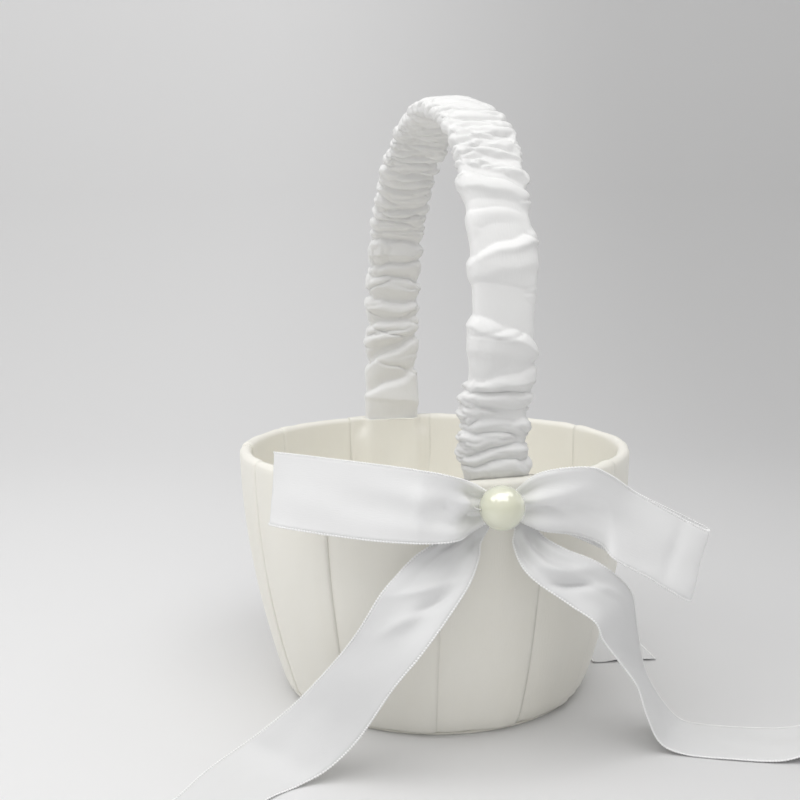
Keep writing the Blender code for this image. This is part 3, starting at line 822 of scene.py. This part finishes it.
FRONT_LEFT_TAIL = [((-9, -74.0, 83), (-4, -74.2, 77)), ((-18, -73.8, 75.5), (-7, -75, 72.5)),
                   ((-28, -74.6, 70), (-9, -79, 69)), ((-35, -75.6, 64), (-13.7, -84, 62.6)),
                   ((-40, -76, 58.6), (-22, -87.6, 53.5)), ((-46, -74, 48), (-31, -90, 44)),
                   ((-52, -69, 37.5), (-39, -87, 33)), ((-63, -61, 22), (-48, -79, 14.8)),
                   ((-74, -57, 11.5), (-57, -76, 5)), ((-82, -56, 6), (-66.5, -76, 0.8)),
                   ((-93, -63, 3), (-77, -81.5, 0.7)), ((-103.4, -73.8, 0.8), (-87, -92, 0.6)),
                   ((-114, -85.5, 0.7), (-97, -104, 0.7))]
FRONT_RIGHT_TAIL = [((9, -74.3, 83), (4.5, -74.6, 76.5)), ((12.5, -76.5, 74.5), (2.5, -79, 72)),
                    ((17, -85, 71.5), (3.7, -88, 65.5)), ((27, -89, 67), (14.5, -93.5, 57)),
                    ((38.8, -86.5, 56.8), (22, -97, 51.5)), ((44.5, -81, 42), (25.5, -95.5, 45)),
                    ((50.5, -73, 29), (33, -91, 36)), ((55.5, -68.5, 19), (41, -88.5, 25.5)),
                    ((61.5, -68, 9.5), (45.5, -87, 14.5)), ((68, -69.5, 2.5), (51, -86.5, 4)),
                    ((76, -72.5, 0.8), (58.5, -90, 0.7)), ((86, -77, 0.6), (70, -96, 0.6)),
                    ((97, -81.5, 0.8), (85, -102.5, 1)), ((107.4, -83.6, 1.5), (98, -106, 4.5)),
                    ((118, -86, 2), (110.5, -109, 3))]
REAR_RIGHT_TAIL = [((8, 74.4, 80), (4, 74.6, 73)), ((17, 75.5, 64), (3, 76.5, 60)),
                   ((27, 78, 48), (4, 81, 41)), ((38, 80, 28), (17, 87, 20)),
                   ((50, 78, 12), (36, 93, 3)), ((60, 70, 3.5), (62, 91, 0.7)),
                   ((66, 52, 1), (85, 68, 0.7)), ((69, 30, 0.8), (93, 38, 0.7)),
                   ((66, 8, 0.7), (91, 9, 0.7)), ((63.5, -10, 0.7), (88.5, -14, 0.7))]
REAR_LEFT_TAIL = [((-8, 74.4, 80), (-4, 74.6, 73)), ((-20, 76, 64), (-3, 76.5, 59)),
                  ((-32, 78, 44), (-8, 80.5, 38)), ((-37, 81, 22), (-14, 88, 18)),
                  ((-36, 90, 6), (-15, 99, 2)), ((-24, 110, 0.8), (-8, 92, 0.7)),
                  ((-4, 118, 0.7), (0, 93.5, 0.7)), ((16, 118, 0.7), (14, 93.5, 0.7)),
                  ((34, 113, 0.7), (27, 96, 0.7))]


def pinch(x, y, z):
    """Station where the ribbon is gathered to the width of the binding."""
    return ((x, y, z + PINCH / 2), (x, y, z - PINCH / 2))


def mirrored(stations):
    """The same stations on the other side of the arch, walked the other way."""
    return [tuple((-x, y, z) for x, y, z in station) for station in reversed(stations)]


def ribbon_edges(stations, closed, steps):
    """Smooth left and right edges through the stations."""
    count = len(stations)
    if closed:
        wide = stations[-3:] + stations + stations[:3]
        return [on_curve([s[k] for s in wide], steps)[3 * steps:(3 + count) * steps] for k in (0, 1)]
    return [on_curve([s[k] for s in stations], steps) for k in (0, 1)]


# Dents: place along from the knot, place across, height, half length, half width, tilt in degrees.
LOOP_DENTS = [(22, 12, -2.6, 4.0, 4.0, 0), (15, 9, 1.6, 3.0, 2.0, 20), (30, 12, 1.4, 2.5, 9, 0),
              (19, 19, -1.6, 6, 1.8, -15), (-24, 8, 1.6, 8, 2.2, 15), (-30, 15, -1.6, 8, 2.4, 10),
              (-20, 17, -2.0, 7, 2.0, -20), (-72, 12, -0.9, 3, 12, 0)]
TAIL_DENTS = [(-42, 17, 2.8, 6, 1.8, 35), (-47, 14, -2.2, 8, 2.2, 35), (-38, 12, -1.2, 7, 1.6, 60),
              (-26, 10, -1.2, 14, 3, 8), (38, 15, 2.8, 8, 1.8, -50), (33, 11, -2.0, 8, 2.2, -50),
              (45, 9, -1.4, 7, 1.8, -20), (92, 12, -1.0, 10, 5, 0)]


def pressed(dents, along, across):
    """Height of the ribbon's dents at a place, in millimetres from the knot and across the ribbon."""
    height = 0.0
    for place, side, high, half_length, half_width, tilt in dents:
        lean = math.radians(tilt)
        u, v = along - place, across - side
        length = (u * math.cos(lean) + v * math.sin(lean)) / half_length
        width = (v * math.cos(lean) - u * math.sin(lean)) / half_width
        height += high * math.exp(-length ** 2 - abs(width) ** 1.4)
    return height


def ribbon_piece(name, stations, closed, seed, pleat, satin_of, low=None, dents=()):
    """A satin strip through stations, pleated where it comes out of the knot, and its stitched edges."""
    left, right = ribbon_edges(stations, closed, 12)
    count = len(left)
    middles = [(a + b) / 2 for a, b in zip(left, right)]
    knot = [k for k in range(count) if (left[k] - right[k]).length < PINCH + 1.0]
    along = [0.0]
    for a, b in zip(middles, middles[1:]):
        along.append(along[-1] + (b - a).length)
    total = along[-1] + ((middles[0] - middles[-1]).length if closed else 0.0)
    rows, flat_rows = [], []
    for j in range(count):
        before = middles[(j - 2) % count if closed else max(j - 2, 0)]
        after = middles[(j + 2) % count if closed else min(j + 2, count - 1)]
        out = (after - before).cross(right[j] - left[j]).normalized()
        gap = min(abs(along[j] - along[k]) for k in knot)
        if closed:
            gap = min(gap, min(total - abs(along[j] - along[k]) for k in knot))
        gathered = pleat * smooth_step(0.0, 9.0, gap) * math.exp(-gap / 14.0)
        if closed:
            from_knot = along[j] if along[j] < total / 2 else along[j] - total
        else:
            from_knot = along[j] - along[knot[len(knot) // 2]]
        row, flat = [], []
        for i in range(ACROSS + 1):
            share = i / ACROSS
            edge = math.sin(math.pi * share) ** 0.5
            wave = math.sin(2 * math.pi * 2.2 * share + seed + 0.05 * gap)
            soft = noise.noise(Vector((share * 2.2 + seed, along[j] * 0.045, seed * 3.0)))
            push = gathered * wave * edge + 0.9 * soft * edge * smooth_step(3.0, 14.0, gap)
            push += pressed(dents, from_knot, share * RIBBON_WIDE)
            point = left[j].lerp(right[j], share) + out * push
            if low is not None:
                point.z = max(point.z, low)
            row.append(point)
            flat.append((share * RIBBON_WIDE, along[j], 0.0))
        rows.append(row)
        flat_rows.append(flat)
    made = cloth_piece(name, rows, flat_rows, satin_of, RIBBON, along=closed)
    stitches = stitched_edges(f"{name}_edging", rows, closed)
    return made, stitches


def stitched_edges(name, rows, closed):
    """The picot stitches along both edges: a thread that swells at every stitch."""
    verts, faces = [], []
    sides = 6
    for column in (0, -1):
        line = [row[column] for row in rows] + ([rows[0][column]] if closed else [])
        beads = evenly_3d(line, STITCH / 4)
        start = len(verts)
        for k, point in enumerate(beads):
            ahead = (beads[min(k + 1, len(beads) - 1)] - beads[max(k - 1, 0)]).normalized()
            side = ahead.cross(Vector((0.31, 0.2, 0.93))).normalized()
            up = side.cross(ahead)
            thick = 0.10 + 0.32 * math.sin(math.pi * (k % 4) / 4) ** 2
            for i in range(sides):
                turn = 2 * math.pi * i / sides
                verts.append((point + (side * math.cos(turn) + up * math.sin(turn)) * thick) * MM)
        for k in range(len(beads) - 1):
            for i in range(sides):
                n = (i + 1) % sides
                a = start + k * sides
                faces.append((a + i, a + n, a + sides + n, a + sides + i))
        faces.append(tuple(start + i for i in reversed(range(sides))))
        faces.append(tuple(start + (len(beads) - 1) * sides + i for i in range(sides)))
    made = mesh_object(name, verts, faces, edging)
    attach(made, "root")
    return made


def evenly_3d(line, step):
    """Points one step apart along a line."""
    out = [line[0]]
    spare = 0.0
    for a, b in zip(line, line[1:]):
        length = (b - a).length
        place = step - spare
        while place <= length:
            out.append(a.lerp(b, place / length))
            place += step
        spare = length - (place - step)
    return out


z = FRONT_KNOT_Z
FRONT_LOOPS = [pinch(-3, -FRONT_Y, z), *FRONT_LEFT_LOOP, pinch(-3, -BACK_Y, z), pinch(3, -BACK_Y, z),
               *FRONT_RIGHT_LOOP, pinch(3, -FRONT_Y, z)]
FRONT_TAILS = [*FRONT_LEFT_TAIL[::-1], pinch(-2, -TAILS_Y, z), pinch(2, -TAILS_Y, z), *FRONT_RIGHT_TAIL]
z = REAR_KNOT_Z
REAR_LOOPS = [pinch(3, BACK_Y, z), *REAR_LOOP, pinch(3, FRONT_Y, z), pinch(-3, FRONT_Y, z),
              *mirrored(REAR_LOOP), pinch(-3, BACK_Y, z)]
REAR_TAILS = [*REAR_LEFT_TAIL[::-1], pinch(-2, TAILS_Y, z), pinch(2, TAILS_Y, z), *REAR_RIGHT_TAIL]
FLOOR_REST = 0.45

# Bow, part, stations, closed, seed, pleat, satin, lowest point, dents, flat length in metres, hold.
for side, part, stations, closed, seed, pleat, satin_of, low, dents, length, held in (
        ("front", "loops", FRONT_LOOPS, True, 1.3, 3.0, ribbon_satin, None, LOOP_DENTS, 0.32, "folded"),
        ("front", "tails", FRONT_TAILS, False, 2.1, 2.2, shaded_tail_satin, FLOOR_REST, TAIL_DENTS, 0.355, "hung"),
        ("rear", "loops", REAR_LOOPS, True, 3.9, 1.4, ribbon_satin, None, (), 0.26, "folded"),
        ("rear", "tails", REAR_TAILS, False, 5.2, 1.4, shaded_tail_satin, FLOOR_REST, (), 0.38, "hung")):
    ribbon, stitches = ribbon_piece(f"{side}_{part}", stations, closed, seed, pleat, satin_of, low, dents)
    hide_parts(f"{side}_bow_{part}")


# ---------------------------------------------------------------- binding thread
# Five turns of white sewing thread bind the pleated ribbons at the middle of each bow.

sewing = grained("sewing_thread", 400.0, (0.90, 0.90, 0.89), (0.80, 0.80, 0.79), 900.0, 0.5, 0.00006, 0.7,
                 "ShaderNodeTexWave")[0]


def thread_line(name, points, thick, closed):
    """A sewing thread along points in millimetres."""
    curve = bpy.data.curves.new(name, "CURVE")
    curve.dimensions = "3D"
    curve.bevel_depth = thick * MM
    curve.bevel_resolution = 3
    curve.use_fill_caps = not closed
    line = curve.splines.new("POLY")
    line.points.add(len(points) - 1)
    line.use_cyclic_u = closed
    for spot, point in zip(line.points, points):
        spot.co = (*(point * MM), 1.0)
    curve.materials.append(sewing)
    made = bpy.data.objects.new(name, curve)
    bpy.context.scene.collection.objects.link(made)
    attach(made, "root")
    return made


TURNS = 5
TURN_STEPS = 32
THREAD = 0.17
for side, sign, knot_z in (("front", -1, FRONT_KNOT_Z), ("rear", 1, REAR_KNOT_Z)):
    points = []
    for k in range(TURNS * TURN_STEPS):
        turn = 2 * math.pi * k / TURN_STEPS
        wide = math.copysign(abs(math.cos(turn)) ** 0.6, math.cos(turn))
        tall = math.copysign(abs(math.sin(turn)) ** 0.6, math.sin(turn))
        points.append(Vector((-0.7 + 1.4 * k / (TURNS * TURN_STEPS - 1), sign * (74.9 + wide * 1.5),
                              knot_z + tall * (PINCH / 2 + 1.3))))
    binding = thread_line(f"{side}_binding", points, THREAD, False)
    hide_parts(f"{side}_bow_thread")


# ---------------------------------------------------------------- pearls
# A 14 mm imitation pearl, drilled through and sewn on over each knot: a cream bead under nacre lacquer.

nacre, parts, links, shader, cloud = grained(
    "nacre", 160.0, (0.80, 0.80, 0.64), (0.72, 0.73, 0.55), 700.0, 0.08, 0.00005, 0.22)
# Painted sheen: the colour turns greener towards the pearl's outline, by the angle it is seen at.
edge = parts.new("ShaderNodeLayerWeight")
edge.inputs["Blend"].default_value = 0.35
painted_sheen_tint = parts.new("ShaderNodeMix")
painted_sheen_tint.data_type = "RGBA"
painted_sheen_tint.inputs["B"].default_value = (0.80, 0.83, 0.68, 1)
wire(links, edge, "Facing", painted_sheen_tint, "Factor")
wire(links, cloud, "Colour", painted_sheen_tint, "A")
wire(links, painted_sheen_tint, "Result", shader, "Base Color")
shader.inputs["Specular IOR Level"].default_value = 0.8
shader.inputs["Coat Weight"].default_value = 1.0
shader.inputs["Coat IOR"].default_value = 2.2
shader.inputs["Coat Roughness"].default_value = 0.05
shader.inputs["Subsurface Weight"].default_value = 0.15
shader.inputs["Subsurface Radius"].default_value = (0.002, 0.002, 0.0015)

PEARL_RADIUS = 7.0
PEARL_SIDES = 64
HOLE = 0.6
for side, centre in (("front", Vector((-3.1, -83.7, 85.6))), ("rear", Vector((0.0, 83.7, 80.5)))):
    open_at = math.asin(HOLE / PEARL_RADIUS)
    section = [(PEARL_RADIUS - 1.6, HOLE * 0.9)]
    for k in range(41):
        turn = open_at + (math.pi - 2 * open_at) * k / 40
        section.append((PEARL_RADIUS * math.cos(turn), PEARL_RADIUS * math.sin(turn)))
    section.append((-PEARL_RADIUS + 1.6, HOLE * 0.9))
    verts = []
    for x, r in section:
        for i in range(PEARL_SIDES):
            turn = 2 * math.pi * i / PEARL_SIDES
            verts.append((centre + Vector((x, r * math.cos(turn), r * math.sin(turn)))) * MM)
    faces = [face[:1] + face[:0:-1] for face in grid_faces(len(section), PEARL_SIDES, True, True)]
    bead = mesh_object(f"{side}_bead", verts, faces, nacre)
    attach(bead, "root")
    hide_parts(f"{side}_pearl")
    sign = -1 if side == "front" else 1
    route = [centre + Vector((x, sign * y, 0)) for x, y in
             ((-3.6, -7.0), (-7.4, -4.6), (-7.6, -0.8), (-6.0, 0.0), (0.0, 0.0),
              (6.0, 0.0), (7.6, -0.8), (7.4, -4.6), (3.6, -7.0))]
    thread_line(f"{side}_bead_thread", on_curve(route, 6), THREAD, False)
